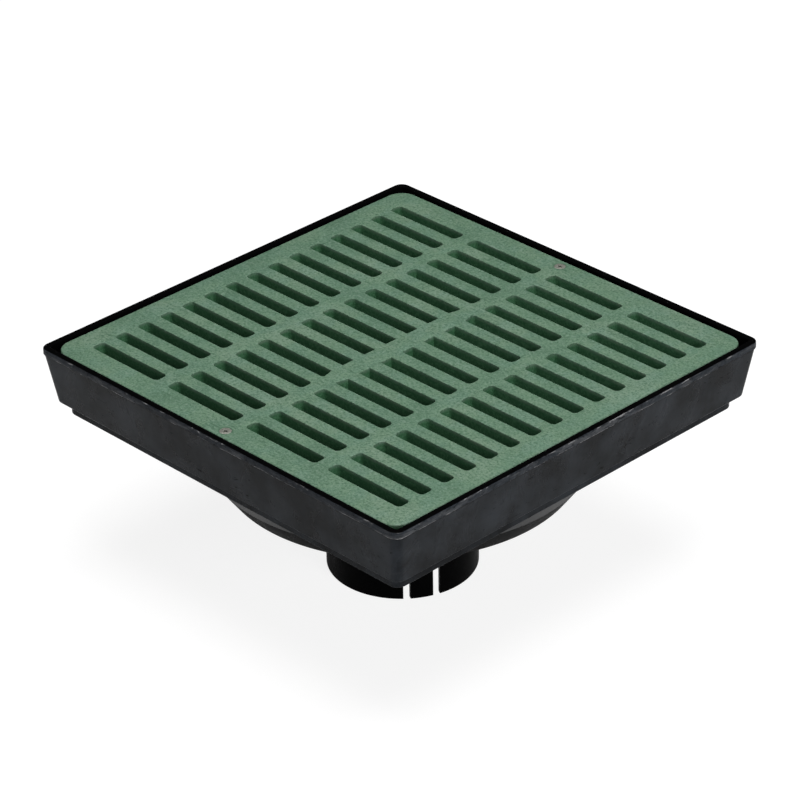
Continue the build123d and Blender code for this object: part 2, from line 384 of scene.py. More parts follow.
def paint(obj, zones):
    """Gives faces one of the object's materials, by the place of their middle in millimetres.

    A zone is its lowest and highest z, its reach and its material, and holds where max(|x|, |y|) is under the reach.
    """
    mesh = obj.data
    middle, index = np.empty(len(mesh.polygons) * 3), np.zeros(len(mesh.polygons), dtype=np.int32)
    mesh.polygons.foreach_get("center", middle)
    middle = middle.reshape(-1, 3) / MM
    level, half = middle[:, 2], np.abs(middle[:, :2]).max(axis=1)
    for low, high, reach, material in zones:
        index[(level > low) & (level < high) & (half < reach)] = material
    mesh.polygons.foreach_set("material_index", index)
    mesh.update()


def dress(obj, node, materials):
    """Shades obj smooth between its sharp edges and lets it stand for its CAD node."""
    mesh = obj.data
    mesh.materials.clear()
    for material in materials:
        mesh.materials.append(material)
    mesh.polygons.foreach_set("material_index", np.zeros(len(mesh.polygons), dtype=np.int32))
    mesh.polygons.foreach_set("use_smooth", np.ones(len(mesh.polygons), dtype=bool))
    mesh.set_sharp_from_angle(angle=SMOOTH_ANGLE)
    mesh.update()
    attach(obj, "root")
    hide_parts(node)


# Shape of the basin

def basin_surface(s):
    """Points and faces of the basin's closed skin.

    The profile is a closed path of (half side, height), which runs up the outside and down the inside. Each of its
    points is carried round the basin. Where the basin is square, a point at half side h with corner radius r gives
    (h - r) * q + r * d, with q the corner of a unit square or a point on its side and d the direction of the arc.
    Where the basin is round, a point at radius h gives h * u, with u the direction of that point on the square.
    A row of corners is (half side, height, corner radius or 0 where round, rounding of the profile there).
    """
    radius, reach, fall, dish, cone, inset, height = millimetres(
        s.spigot_radius, s.spigot_reach, s.dish_fall, s.dish_radius, s.cone_height, s.cone_inset, s.dish_height
    )
    step, step_in, wall, thickness, lip, overhang, rim = millimetres(
        s.step_height, s.step_inset, s.wall_height, s.wall_thickness, s.lip_height, s.lip_overhang, s.rim_width
    )
    ledge_width, ledge_thickness, outer, seat, cavity, root = millimetres(
        s.ledge_width, s.ledge_thickness, s.corner_radius, s.seat_corner, s.cavity_corner, s.root_radius
    )
    floor = reach + fall + cone + height
    foot = floor + step
    lip_foot = foot + wall
    top = lip_foot + lip
    ledge = grate_levels()[1]
    slope = tan(s.wall_draft)
    opening = half_opening()
    wall_foot = opening + rim - overhang - wall * slope
    step_half = wall_foot - step_in
    shelf = foot + thickness
    under = ledge - ledge_thickness
    outside = np.array([
        (radius, 0), (radius, reach), (dish - inset, reach + fall), (dish, reach + fall + cone),
        (dish, floor + thickness),
    ])
    inside = inset_path(outside, thickness)[::-1]
    square = [
        (step_half, floor, outer, 1.0), (step_half, foot, outer, 0.5), (wall_foot, foot, outer, 1.0),
        (wall_foot + wall * slope, lip_foot, outer, 0.1), (opening + rim, lip_foot, outer, 0.25),
        (opening + rim, top, outer, 0.8), (opening, top, seat, 0.4), (opening, ledge, seat, 0.4),
        (opening - ledge_width, ledge, cavity, 0.3), (opening - ledge_width, under, cavity, 0.3),
        (wall_foot + (under - foot) * slope - thickness, under, cavity, 0.8),
        (wall_foot + thickness * slope - thickness, shelf, cavity, 0.8),
        (step_half - thickness, shelf, cavity, 0.6), (step_half - thickness, floor + thickness, cavity, 1.5),
    ]
    outside[-1, 1] = floor
    below = np.column_stack([outside, np.zeros(len(outside)), (0.4, root, 2.5, 0.5, 0.6)])
    within = np.column_stack([inside, np.zeros(len(inside)), (0.8, 2.0, 2.0, 2.0, 0.4)])
    corners = np.vstack([below, square, within])
    path = rounded_path(corners[:, :2], corners[:, 3])
    steps = ROUND_STEPS + 1
    is_square = np.repeat(corners[:, 2] > 0, steps)[:, None, None]
    corner = np.repeat(corners[:, 2], steps)[:, None, None]
    q, d, u = square_template(SIDE_STEPS, CORNER_STEPS, SPACING_HALF, outer)
    half, level = path[:, :1], np.repeat(path[:, 1:], len(q), axis=1)
    lip_edge = np.abs(level - lip_foot) < NEAR
    rim_edge = (half > opening + rim - NEAR) & (level > top - PAST)
    level = level + lip_edge * LIP_WAVE * ripple(len(q), *LIP_RIPPLE)
    half = (half - rim_edge * RIM_WAVE * np.abs(ripple(len(q), *RIM_RIPPLE)))[..., None]
    plan = np.where(is_square, (half - corner) * q + corner * d, half * u)
    points = np.concatenate([plan, level[..., None]], axis=-1)
    return points.reshape(-1, 3), grid_faces(len(path), len(q), wrap_rows=True, wrap_columns=True)


def square_template(side_steps, corner_steps, half, radius):
    """Points of a rounded square as arrays: places on a unit square, arc directions, and directions from the middle.

    The points of a side lie at tan(t) for even steps of t, so that the same points divide a circle evenly.
    """
    reach = atan2(half - radius, half)
    along = np.tan(np.linspace(-reach, reach, side_steps + 1)[:-1]) / tan(reach)
    arc = np.linspace(0, pi / 2, corner_steps + 1)[:-1]
    places = np.vstack([np.column_stack([np.ones(side_steps), along]), np.ones((corner_steps, 2))])
    arcs = np.vstack([np.tile((1.0, 0.0), (side_steps, 1)), directions(arc)])
    quarter = np.array([[[0, 1], [-1, 0]]] * 4, dtype=float)
    spin = np.array([np.linalg.matrix_power(quarter[k], k) for k in range(4)])
    q = (places @ spin).reshape(-1, 2)
    d = (arcs @ spin).reshape(-1, 2)
    u = (half - radius) * q + radius * d
    return q, d, u / np.linalg.norm(u, axis=1, keepdims=True)


def half_opening():
    """Half the side of the opening that the grate sits in, in millimetres."""
    g = bpy.context.scene.drain_grate
    return (g.side / 2 + g.gap) / MM


def grate_levels():
    """Heights of the grate's face, of the plate's underside, which rests on the ledge, and of the fins' foot."""
    b, g = bpy.context.scene.drain_basin, bpy.context.scene.drain_grate
    rim = b.spigot_reach + b.dish_fall + b.cone_height + b.dish_height + b.step_height + b.wall_height + b.lip_height
    face = rim - g.recess
    return millimetres(face, face - g.plate_thickness, face - g.depth)


def screw_place():
    """Distance of each screw from the middle, in millimetres."""
    g, screw = bpy.context.scene.drain_grate, bpy.context.scene.drain_screw
    return (g.side / 2 - screw.edge_distance) / MM


def at_screws(points, faces):
    """Points and faces of a shape at the middle, as two of them at the places of the screws."""
    return joined([(turned(points, 0, (0, side * screw_place(), 0)), faces) for side in (-1, 1)])


def basin_ribs(s):
    """Points and faces of the gussets under the ledge and of the two screw bosses."""
    ledge = grate_levels()[1]
    ledge_thickness, height, nose, thickness, pitch, wall = millimetres(
        s.ledge_thickness, s.gusset_height, s.gusset_nose, s.gusset_thickness, s.gusset_pitch, s.wall_thickness
    )
    top = ledge - ledge_thickness + SUNK
    tip = half_opening() - s.ledge_width / MM + SUNK / 10
    slope = tan(s.wall_draft)
    wall_foot = half_opening() + (s.rim_width - s.lip_overhang - s.wall_height * slope) / MM
    root = wall_foot + (top - height - foot_level(s)) * slope - wall / 2
    outline = np.array([(root, top - height), (root, top), (tip, top), (tip, top - nose)])
    blade, faces = prism(outline, -thickness / 2, thickness / 2)
    upright = blade[:, (0, 2, 1)]
    places = (np.arange(s.gusset_count) - (s.gusset_count - 1) / 2) * pitch
    shells = [(turned(upright, side * pi / 2, (0, place, 0)), faces) for side in range(4) for place in places]
    arc = np.linspace(pi / 2, 3 * pi / 2, BEND_POINTS)
    radius, place = s.boss_radius / MM, screw_place()
    curve = radius * directions(arc) + (place, 0)
    boss = np.vstack([curve, [(wall_foot - wall / 2, -radius), (wall_foot - wall / 2, radius)]])
    block, block_faces = prism(boss, foot_level(s) + wall - SUNK, ledge - SUNK)
    shells += [(turned(block, side * pi / 2), block_faces) for side in (1, 3)]
    return joined(shells)


def foot_level(s):
    """Height of the foot of the sloping walls, in millimetres."""
    return (s.spigot_reach + s.dish_fall + s.cone_height + s.dish_height + s.step_height) / MM


def basin_cutters(s):
    """Points and faces of what is cut out of the basin: the slits of the tongues and the bores of the bosses."""
    width, length, radius, tongue, wall = millimetres(
        s.slit_width, s.slit_length, s.spigot_radius, s.tongue_width, s.wall_thickness
    )
    arc = np.linspace(0, pi, BEND_POINTS)
    end = width / 2 * directions(arc) + (0, length - width / 2)
    outline = np.vstack([end, [(-width / 2, -PAST), (width / 2, -PAST)]])
    slit, faces = prism(outline, radius - 2 * wall, radius + wall)
    slit = slit[:, (2, 0, 1)]
    turns = s.tongue_turn + np.arange(s.tongue_count) * 2 * pi / s.tongue_count
    shift = (tongue + width) / 2
    shells = [(turned(slit, turn, (0, side * shift, 0)), faces) for turn in turns for side in (-1, 1)]
    ledge, bore, depth = grate_levels()[1], s.boss_bore / MM, s.boss_bore_depth / MM
    bottom, top = ledge - depth, ledge + PAST
    return joined(shells + [at_screws(*lathe((0, bore, bore, 0), (bottom, bottom, top, top), BORE_STEPS))])


# Shape of the grate

def rectangle_rings(half, corner, steps):
    """Points of rounded rectangles: corner places plus corner radius times arc directions, corner after corner."""
    arc = np.linspace(0, pi / 2, steps + 1) + np.arange(4)[:, None] * pi / 2
    sign = np.array([(1, 1), (-1, 1), (-1, -1), (1, -1)], dtype=float)[:, None, :]
    half, corner = half[:, None, None, :], corner[:, None, None, None]
    return (sign * (half - corner) + corner * directions(arc)).reshape(len(half), -1, 2)


def grate_cells(g):
    """Points and faces of the slots, each with its share of the plate and of the fins under it.

    A cell is a set of rings one under the other: its border in the grate's face, the slot's rounded upper edge,
    the slot's foot, the fins' inner sides down to their foot, and the border there. The slots beside the middle
    bar have their points moved out to x = the bar's half width at that y.
    """
    face, under, foot = grate_levels()
    end_margin, side_margin, end_spacing, bar, fin, side, edge, corner = millimetres(
        g.end_margin, g.side_margin, g.end_spacing, g.bar_width, g.fin, g.side, g.slot_edge, g.slot_corner
    )
    pitch = np.array([(side - 2 * end_margin) / g.bands, (side - 2 * side_margin) / g.rows])
    slot = (pitch - (end_spacing, bar)) / 2
    grown, fallen = rounded_edge(edge)
    halves = np.vstack([pitch / 2, slot + grown[:, None], slot, pitch / 2 - fin / 2, pitch / 2 - fin / 2, pitch / 2])
    corners = np.concatenate([[0], corner + grown, [corner, NEAR, NEAR, 0]])
    levels = np.concatenate([[face], face - fallen, [under, under, foot, foot]])
    rings = rectangle_rings(halves, corners, SLOT_STEPS)
    x = (np.arange(g.bands) - (g.bands - 1) / 2) * pitch[0]
    y = (np.arange(g.rows) - (g.rows - 1) / 2) * pitch[1]
    plan = rings + np.stack(np.meshgrid(x, y, indexing="ij"), axis=-1)[:, :, None, None, :]
    ring = np.arange(len(levels))[:, None]
    widest, flat, length = millimetres(g.middle_width, g.middle_flat, g.middle_length)
    bar_half = np.interp(np.abs(plan[..., 1]), (flat / 2, length / 2), (widest / 2, end_spacing / 2), right=0)
    reach = bar_half - np.concatenate([[0], grown, [0, 0, 0, 0]])[:, None]
    near = (np.abs(plan[..., 0]) < reach) & (ring > 0) & (ring < len(levels) - 3)
    plan[..., 0] = np.where(near, np.sign(x)[:, None, None, None] * reach, plan[..., 0])
    array = pitch * (g.bands, g.rows) / 2
    outer = np.array([array[0] + fin / 2, g.fin_width / MM / 2])
    at_end = (np.abs(plan) > array - WELD / MM) & (ring[..., None] == len(levels) - 1)
    plan = np.where(at_end, np.sign(plan) * outer, plan)
    points = raised(plan, levels)
    cell = grid_faces(points.shape[2], points.shape[3], wrap_columns=True)
    size_of_cell = points.shape[2] * points.shape[3]
    starts = np.arange(g.bands * g.rows)[:, None, None] * size_of_cell
    return points.reshape(-1, 3), (cell + starts).reshape(-1, 4)


def grate_flange(g):
    """Points and faces of the plain margin: from the slots out to the rounded edge, down, and back to the fins.

    Its rings have a point for each slot border they pass, and an arc at each corner.
    """
    face, under, foot = grate_levels()
    end_margin, side_margin, fin, side, edge, corner = millimetres(
        g.end_margin, g.side_margin, g.fin, g.side, g.edge_radius, g.corner_radius
    )
    array = np.array([side / 2 - end_margin, side / 2 - side_margin])
    arc = np.linspace(0, pi / 2, CORNER_POINTS)
    curve = directions(arc)
    rows = np.linspace(-1, 1, g.rows + 1)[1:-1]
    bands = np.linspace(1, -1, g.bands + 1)[1:-1]
    half = np.concatenate([
        np.column_stack([np.ones(len(rows)), rows]), np.ones((CORNER_POINTS, 2)),
        np.column_stack([bands, np.ones(len(bands))]), np.tile((-1.0, 1.0), (CORNER_POINTS, 1)),
    ])
    unit = np.concatenate([half, -half])
    on_corner = np.all(np.abs(unit) == 1, axis=1)[:, None]
    bend = np.zeros_like(unit)
    flip = np.column_stack([-curve[:, 1], curve[:, 0]])
    bend[on_corner[:, 0]] = np.concatenate([curve, flip, -curve, -flip])
    straight = np.where(np.abs(unit) == 1, np.sign(unit), 0)

    def outline(inset):
        reach, radius = side / 2 - inset, corner - inset
        rounded = np.sign(unit) * (reach - radius) + radius * bend
        flat = np.where(straight != 0, straight * reach, unit * array)
        return np.where(on_corner, rounded, flat)

    fins = np.array([array[0] + fin / 2, g.fin_width / MM / 2])
    at_fins = np.where(straight != 0, straight * fins, unit * array)
    grown, fallen = rounded_edge(edge)
    plans = [unit * array] + [outline(inset) for inset in (*grown, 0, NEAR)] + [at_fins, at_fins]
    levels = np.concatenate([[face], face - fallen, [under + NEAR, under, under, foot]])
    points = raised(np.stack(plans), levels)
    return points.reshape(-1, 3), grid_faces(len(levels), len(unit), wrap_columns=True)


# Shape of the screws

def screw_surface(s):
    """Points and faces of one screw, from the foot of its cross recess to its tip.

    In the direction t the cross reaches max(min(a / |cos t|, b / |sin t|), min(a / |sin t|, b / |cos t|)), with a
    half its span and b half its blade. Along the shank the radius is the core's plus the height of the thread
    times max(0, 1 - steepness |2 f - 1|), where f is the fraction of a turn at that height and direction.
    """
    span, blade = s.recess_span / MM / 2, s.recess_blade / MM / 2
    head, shank, core, length, tip, blunt, pitch, depth = millimetres(
        s.head_radius, s.shank_radius, s.core_radius, s.length, s.tip_length, s.tip_radius, s.pitch, s.recess_depth
    )
    side = atan2(blade, span)
    flank = np.linspace(side, pi / 2 - side, FLANK_POINTS)
    quarter = np.concatenate([np.linspace(-side, side, BLADE_POINTS)[:-1], flank[:-1]])
    t = (quarter + np.arange(4)[:, None] * pi / 2).ravel()
    c, n = np.maximum(np.abs(np.cos(t)), TINY), np.maximum(np.abs(np.sin(t)), TINY)
    cross = np.maximum(np.minimum(span / c, blade / n), np.minimum(span / n, blade / c))
    around = np.ones_like(t)
    top = grate_levels()[0] - s.sink / MM
    low_share, high_share, high_depth, worn = 0.62, 0.9, 0.2, 0.06
    bevel, bevel_fall, runout, steepness = 0.25, 0.1, 0.2, 1.7
    neck = bevel + head - core - runout
    down = np.arange(neck + runout, length - tip, pitch / THREAD_STEPS)
    phase = (down[:, None] / pitch + t / (2 * pi)) % 1
    grown = np.clip(np.minimum(down - down[0], down[-1] - down) / pitch, 0, 1)[:, None]
    thread = core + (shank - core) * grown * np.maximum(0, 1 - steepness * np.abs(2 * phase - 1))
    radii = np.vstack([
        0 * around, low_share * cross, high_share * cross, cross, cross + worn, (head - bevel) * around,
        head * around, head * around, core * around, thread, blunt * around, 0 * around,
    ])
    heights = np.concatenate([
        [depth, depth, high_depth, worn, 0, 0, bevel_fall, bevel, neck], down, [length, length],
    ])
    points = raised(radii[..., None] * directions(t), top - heights)
    return points.reshape(-1, 3), grid_faces(len(heights), len(t), wrap_columns=True)


def countersinks():
    """Points and faces of what is cut out of the grate for the two screws."""
    s = bpy.context.scene.drain_screw
    face, under, _ = grate_levels()
    mouth, hole = s.countersink_radius / MM, s.hole_radius / MM
    radii = (0, mouth + PAST, mouth, hole, hole, 0)
    heights = (face + PAST, face + PAST, face, face - mouth + hole, under - PAST, under - PAST)
    return at_screws(*lathe(radii, heights, COUNTERSINK_STEPS))


# Materials

class Shading:
    """A material being made, with its tree, its surface shader and the place on the object."""

    def __init__(self, name):
        self.material = bpy.data.materials.new(name)
        self.material.use_nodes = True
        self.tree = self.material.node_tree
        self.tree.nodes.clear()
        self.shader = self.add("ShaderNodeBsdfPrincipled")
        self.add("ShaderNodeOutputMaterial", Surface=self.shader.outputs[0])
        self.place = self.add("ShaderNodeTexCoord").outputs["Object"]

    def attach(self, socket, value):
        """Links a socket to another, or sets its value."""
        if isinstance(value, bpy.types.NodeSocket):
            self.tree.links.new(value, socket)
        elif socket.type == "RGBA":
            socket.default_value = (*value[:3], 1.0)
        else:
            socket.default_value = value

    def fill(self, node, **sockets):
        """The node, with a value or a link for each socket named (_ for a space)."""
        for name, value in sockets.items():
            self.attach(node.inputs[name.replace("_", " ")], value)
        return node

    def add(self, kind, settings=None, **sockets):
        """A new node, with its settings and its sockets filled."""
        made = self.tree.nodes.new(kind)
        for name, value in (settings or {}).items():
            setattr(made, name, value)
        return self.fill(made, **sockets)

    def finished(self, **sockets):
        """The material, with its surface shader's sockets filled."""
        self.fill(self.shader, **sockets)
        return self.material

    def height(self):
        """Height on the object."""
        return self.add("ShaderNodeSeparateXYZ", Vector=self.place).outputs["Z"]

    def noise(self, scale, detail=2.0, roughness=0.5, distortion=0.0, stretch=(1.0, 1.0, 1.0)):
        """Value of a noise texture, with the place scaled first by a number along each axis."""
        place = self.add("ShaderNodeMapping", Vector=self.place, Scale=stretch).outputs[0]
        return self.add(
            "ShaderNodeTexNoise", Vector=place, Scale=scale, Detail=detail, Roughness=roughness, Distortion=distortion
        ).outputs[0]

    def ramp(self, value, low, high, start=0.0, end=1.0):
        """Value turned into start at low, end at high, and evenly in between."""
        return self.add(
            "ShaderNodeMapRange", Value=value, From_Min=low, From_Max=high, To_Min=start, To_Max=end
        ).outputs[0]

    def maths(self, operation, first, second=0.0):
        """Result of a sum on two values."""
        made = self.add("ShaderNodeMath", {"operation": operation})
        self.attach(made.inputs[0], first)
        self.attach(made.inputs[1], second)
        return made.outputs[0]

    def times(self, first, second):
        """Product of two values."""
        return self.maths("MULTIPLY", first, second)

    def between(self, value, level, *offsets):
        """A band about a level: 1 between the middle two of four offsets in millimetres, 0 past the outer two."""
        low, full, fading, high = (level + offset * MM for offset in offsets)
        return self.times(self.ramp(value, low, full), self.ramp(value, fading, high, 1.0, 0.0))

    def contour(self, value, width):
        """Thin lines where a value passes its middle."""
        return self.ramp(self.maths("ABSOLUTE", self.maths("SUBTRACT", value, 0.5)), 0.0, width, 1.0, 0.0)

    def layered(self, base, *layers):
        """A colour with others laid over it, each given with its factor.

        Sockets 0, 6 and 7 of a Mix node are its factor and its two colours, and its output 2 is the mixed colour.
        """
        for factor, over in layers:
            made = self.add("ShaderNodeMix", {"data_type": "RGBA"})
            for index, value in ((0, factor), (6, base), (7, over)):
                self.attach(made.inputs[index], value)
            base = made.outputs[2]
        return base

    def bumped(self, *heights):
        """Normal raised by several (height, strength, distance in millimetres)."""
        normal = None
        for height, strength, distance in heights:
            made = self.add("ShaderNodeBump", Height=height, Strength=strength, Distance=distance * MM)
            if normal:
                self.attach(made.inputs["Normal"], normal)
            normal = made.outputs[0]
        return normal


def grate_material(f):
    """Green moulded plastic: a faint mottle, grain, thin dark lines and pale scuffs, with painted shade in the slots
    and round the countersinks.
    """
    m = Shading("grate_plastic")
    face, height = grate_levels()[0] * MM, m.height()
    broad = m.noise(26.0, 3.0, 0.6)
    cool = m.noise(60.0, 3.0, 0.6, 0.0, (1.3, 0.8, 1.0))
    blotch = m.noise(150.0, 4.0, 0.7, 0.4)
    speck = m.noise(620.0, 3.0, 0.75)
    lines = m.contour(m.noise(150.0, 3.0, 0.6, 1.2, (0.7, 1.3, 1.0)), 0.022)
    veins = m.contour(m.noise(240.0, 2.0, 0.55, 1.0), 0.022)
    sparse = m.ramp(m.noise(45.0, 2.0, 0.5), 0.50, 0.62)
    scuff = m.noise(220.0, 3.0, 0.7, 1.0, (0.3, 3.0, 1.0))
    scrape = m.noise(240.0, 2.0, 0.6, 0.5, (0.12, 1.8, 1.0))
    mirrored = m.add("ShaderNodeVectorMath", {"operation": "ABSOLUTE"}, Vector=m.place).outputs[0]
    away = m.add("ShaderNodeVectorMath", {"operation": "DISTANCE"}, Vector=mirrored)
    away.inputs[1].default_value = (0.0, screw_place() * MM, face)
    ragged = m.maths("ADD", away.outputs["Value"], m.ramp(blotch, 0.3, 0.7, -0.8 * MM, 0.4 * MM))
    reach = bpy.context.scene.drain_screw.countersink_radius
    # Painted shade inside the slots: their walls and all below the face take a deeper green
    inside = m.layered(
        f.grate_slot_shade,
        (m.ramp(speck, 0.44, 0.58), f.grate_slot_shade_mottle),
        (m.ramp(blotch, 0.45, 0.62, 0.0, 0.7), f.grate_slot_shade),
    )
    base = m.layered(
        f.grate_green,
        (m.ramp(broad, 0.42, 0.60), f.grate_warm),
        (m.ramp(cool, 0.46, 0.60, 0.0, 0.9), f.grate_cool),
        (m.ramp(broad, 0.50, 0.66, 0.0, 0.30), f.grate_pale),
        (m.ramp(broad, 0.47, 0.34, 0.0, 0.35), f.grate_dark),
        (m.ramp(blotch, 0.54, 0.70, 0.0, 0.45), f.grate_dark),
        (m.ramp(speck, 0.51, 0.64), f.grate_dark),
        (m.ramp(speck, 0.48, 0.32, 0.0, 0.65), f.grate_pale),
        (m.times(veins, 0.5), f.grate_dark),
        (m.times(m.times(lines, sparse), 0.95), f.grate_dark),
        (m.ramp(scuff, 0.62, 0.74, 0.0, 0.6), f.grate_pale),
        (m.times(m.ramp(scrape, 0.62, 0.68, 0.0, 0.8), sparse), f.grate_dark),
        # Painted shade in and round each countersink, about the screw head
        (m.ramp(ragged, reach, reach + 0.8 * MM, 0.75, 0.0), f.grate_dark),
        # Painted shade from just under the face down into the slots
        (m.ramp(height, face - 3.0 * MM, face - 0.3 * MM, 1.0, 0.0), inside),
    )
    return m.finished(
        Base_Color=base, Roughness=m.ramp(blotch, 0.35, 0.65, 0.55, 0.66), Specular_IOR_Level=0.3,
        Normal=m.bumped((speck, 0.40, 0.10), (lines, 0.20, 0.10)),
    )


def basin_material(f, name, black, sheen, polish, wear):
    """Black moulded plastic: a satin skin with dust, upright scratches, short dark marks and a worn lip, with a
    painted shadow under the lip, a painted highlight along the lip's foot and the rim's outer edge, and a lip band
    lightened partly by dust and partly by painted reflection.

    black is its base colour, a darker one standing for painted shade on the rim and the outlet, sheen the level of
    its mirrored light, polish scales its roughness, and wear is the share of its dust, scuffs and painted highlights.
    """
    m = Shading(name)
    height = m.height()
    top = grate_levels()[0] * MM + bpy.context.scene.drain_grate.recess
    foot = top - bpy.context.scene.drain_basin.lip_height
    cloud = m.noise(32.0, 4.0, 0.6)
    grain = m.noise(700.0, 3.0, 0.65)
    upright = m.noise(360.0, 3.0, 0.65, 0.3, (1.0, 1.0, 0.10))
    patch = m.noise(65.0, 4.0, 0.7, 0.6)
    streak = m.noise(60.0, 4.0, 0.6, 0.8, (1.0, 1.0, 0.6))
    nick = m.noise(260.0, 3.0, 0.65, 1.5, (0.4, 0.4, 1.2))
    burr = m.noise(330.0, 4.0, 0.75, 0.8)
    gash = m.noise(210.0, 3.0, 0.7, 0.6, (0.35, 0.35, 1.6))
    band = m.ramp(height, foot - 0.3 * MM, foot + 0.1 * MM)
    wavy = m.maths("ADD", height, m.ramp(burr, 0.3, 0.7, -0.3 * MM, 0.3 * MM))
    seam = m.between(wavy, foot, -0.4, 0.1, 0.1, 0.6)
    edge = m.between(wavy, top, -1.1, -0.7, -0.4, -0.1)
    # A painted shadow in a thin band just under the lip
    shade = m.between(wavy, foot, -1.2, -0.5, -0.4, -0.1)
    # Painted highlight in broken lines along the lip's foot and the rim's outer top edge
    painted_lip_highlight = m.maths("MAXIMUM", m.times(seam, m.ramp(gash, 0.52, 0.56)), m.times(edge, m.ramp(gash, 0.57, 0.61)))
    marks = m.times(m.ramp(upright, 0.64, 0.74), m.ramp(patch, 0.52, 0.68))
    base = m.layered(
        black,
        (m.ramp(cloud, 0.40, 0.66, 0.0, 0.55 * wear), f.basin_dust_and_reflection),
        (m.ramp(streak, 0.52, 0.70, 0.0, 0.2 * wear), f.basin_dust_and_reflection),
        (m.ramp(streak, 0.40, 0.30, 0.0, 0.5), f.basin_marks_and_shade),
        # The lip band is lightened by dust and scuffs, partly real and partly a painted reflection of the floor
        (m.times(band, m.ramp(burr, 0.35, 0.65, 0.1 * wear, 0.9 * wear)), f.basin_dust_and_reflection),
        (m.times(band, m.ramp(gash, 0.46, 0.64, 0.0, 0.16 * wear)), f.basin_scuff_and_highlight),
        (m.times(marks, 0.5 * wear), f.basin_dust_and_reflection),
        # Painted shadow under the lip
        (m.times(shade, 0.9), f.basin_marks_and_shade),
        # Painted highlight along the lip's foot and the rim's edge
        (m.times(painted_lip_highlight, 0.9 * wear), f.basin_scuff_and_highlight),
        (m.times(seam, m.ramp(gash, 0.45, 0.41, 0.0, wear)), f.basin_marks_and_shade),
        (m.ramp(nick, 0.66, 0.70, 0.0, wear), f.basin_marks_and_shade),
    )
    dull = m.maths("ADD", m.ramp(streak, 0.35, 0.65, 0.24, 0.36), m.ramp(nick, 0.65, 0.70, 0.0, 0.35 * wear))
    return m.finished(
        Base_Color=base, Roughness=m.times(dull, polish), Specular_IOR_Level=sheen,
        Normal=m.bumped(
            (grain, 0.12, 0.08), (marks, 0.12 * wear, 0.10), (painted_lip_highlight, 0.60, 0.35), (cloud, 0.25 * wear, 0.60)
        ),
    )


def screw_material(f):
    """Satin steel with fine turning marks and a little tarnish, and painted shade in the cross recess."""
    m = Shading("screw_steel")
    tarnish = m.noise(900.0, 4.0, 0.7, 0.5)
    turning = m.noise(1800.0, 3.0, 0.6, 0.0, (1.0, 1.0, 6.0))
    shade = tuple(0.45 * part for part in f.screw_steel)
    top = grate_levels()[0] * MM - bpy.context.scene.drain_screw.sink
    base = m.layered(
        f.screw_steel,
        (m.ramp(tarnish, 0.45, 0.70, 0.0, 0.8), shade),
        # Painted shade in the cross recess, darker with depth below the head's top
        (m.ramp(m.height(), top - 0.6 * MM, top - 0.2 * MM, 0.85, 0.0), f.screw_recess_shade),
    )
    return m.finished(
        Base_Color=base, Roughness=m.ramp(turning, 0.35, 0.65, 0.42, 0.58), Metallic=0.75,
        Normal=m.bumped((turning, 0.2, 0.04), (tarnish, 0.2, 0.08)),
    )


def floor_material(f, glow, mirror):
    """Pale floor, which the camera sees paler still, and mirrors by the share mirror, with its shadows kept."""
    m = Shading("studio_floor")
    near = tuple(0.985 * part for part in f.floor_white)
    white = m.layered(f.floor_white, (m.noise(3.0, 2.0, 0.5), near))
    path = m.add("ShaderNodeLightPath")
    seen = m.maths("MAXIMUM", path.outputs["Is Camera Ray"], path.outputs["Is Transmission Ray"])
    seen = m.maths("ADD", seen, m.times(path.outputs["Is Glossy Ray"], mirror))
    return m.finished(
        Base_Color=m.layered(white, (m.times(seen, glow), (0.0, 0.0, 0.0))), Roughness=0.9, Specular_IOR_Level=0.1,
        Emission_Color=(1.0, 1.0, 1.0), Emission_Strength=m.times(seen, glow * GLOW_GAIN),
    )


# Stage

def floor_surface(radius, height):
    """Points and faces of a round floor that turns up into a low wall along a quarter circle."""
    bend = np.linspace(0, pi / 2, BEND_POINTS)
    radii = np.concatenate([np.array([0, 1 / 4, 1 / 2, 1]) * radius, radius + height * np.sin(bend)[1:]])
    heights = np.concatenate([np.zeros(4), height * (1 - np.cos(bend))[1:]])
    return lathe(radii, heights, FLOOR_STEPS, start=0)


def lamp(name, watts, width, depth, place, aim):
    """A soft rectangular lamp at a place, turned towards a point."""
    light = bpy.data.lights.new(name, "AREA")
    light.shape, light.energy, light.size, light.size_y = "RECTANGLE", watts, width, depth
    made = bpy.data.objects.new(name, light)
    made.location = place
    made.rotation_euler = (Vector(aim) - Vector(place)).to_track_quat("-Z", "Y").to_euler()
    bpy.context.scene.collection.objects.link(made)


def camera_matrix(s):
    """Place and turn of the camera, from its distance and its angles about the point it aims at."""
    a, e, roll = s.azimuth, s.elevation, s.roll
    back = Vector((sin(a) * cos(e), -cos(a) * cos(e), sin(e)))
    right = Vector((cos(a), sin(a), 0))
    up = back.cross(right)
    turned_right = right * cos(roll) + up * sin(roll)
    turned_up = up * cos(roll) - right * sin(roll)
    frame_axes = Matrix((turned_right, turned_up, back)).transposed().to_4x4()
    return Matrix.Translation(Vector(s.aim) + back * s.distance) @ frame_axes


# Operators

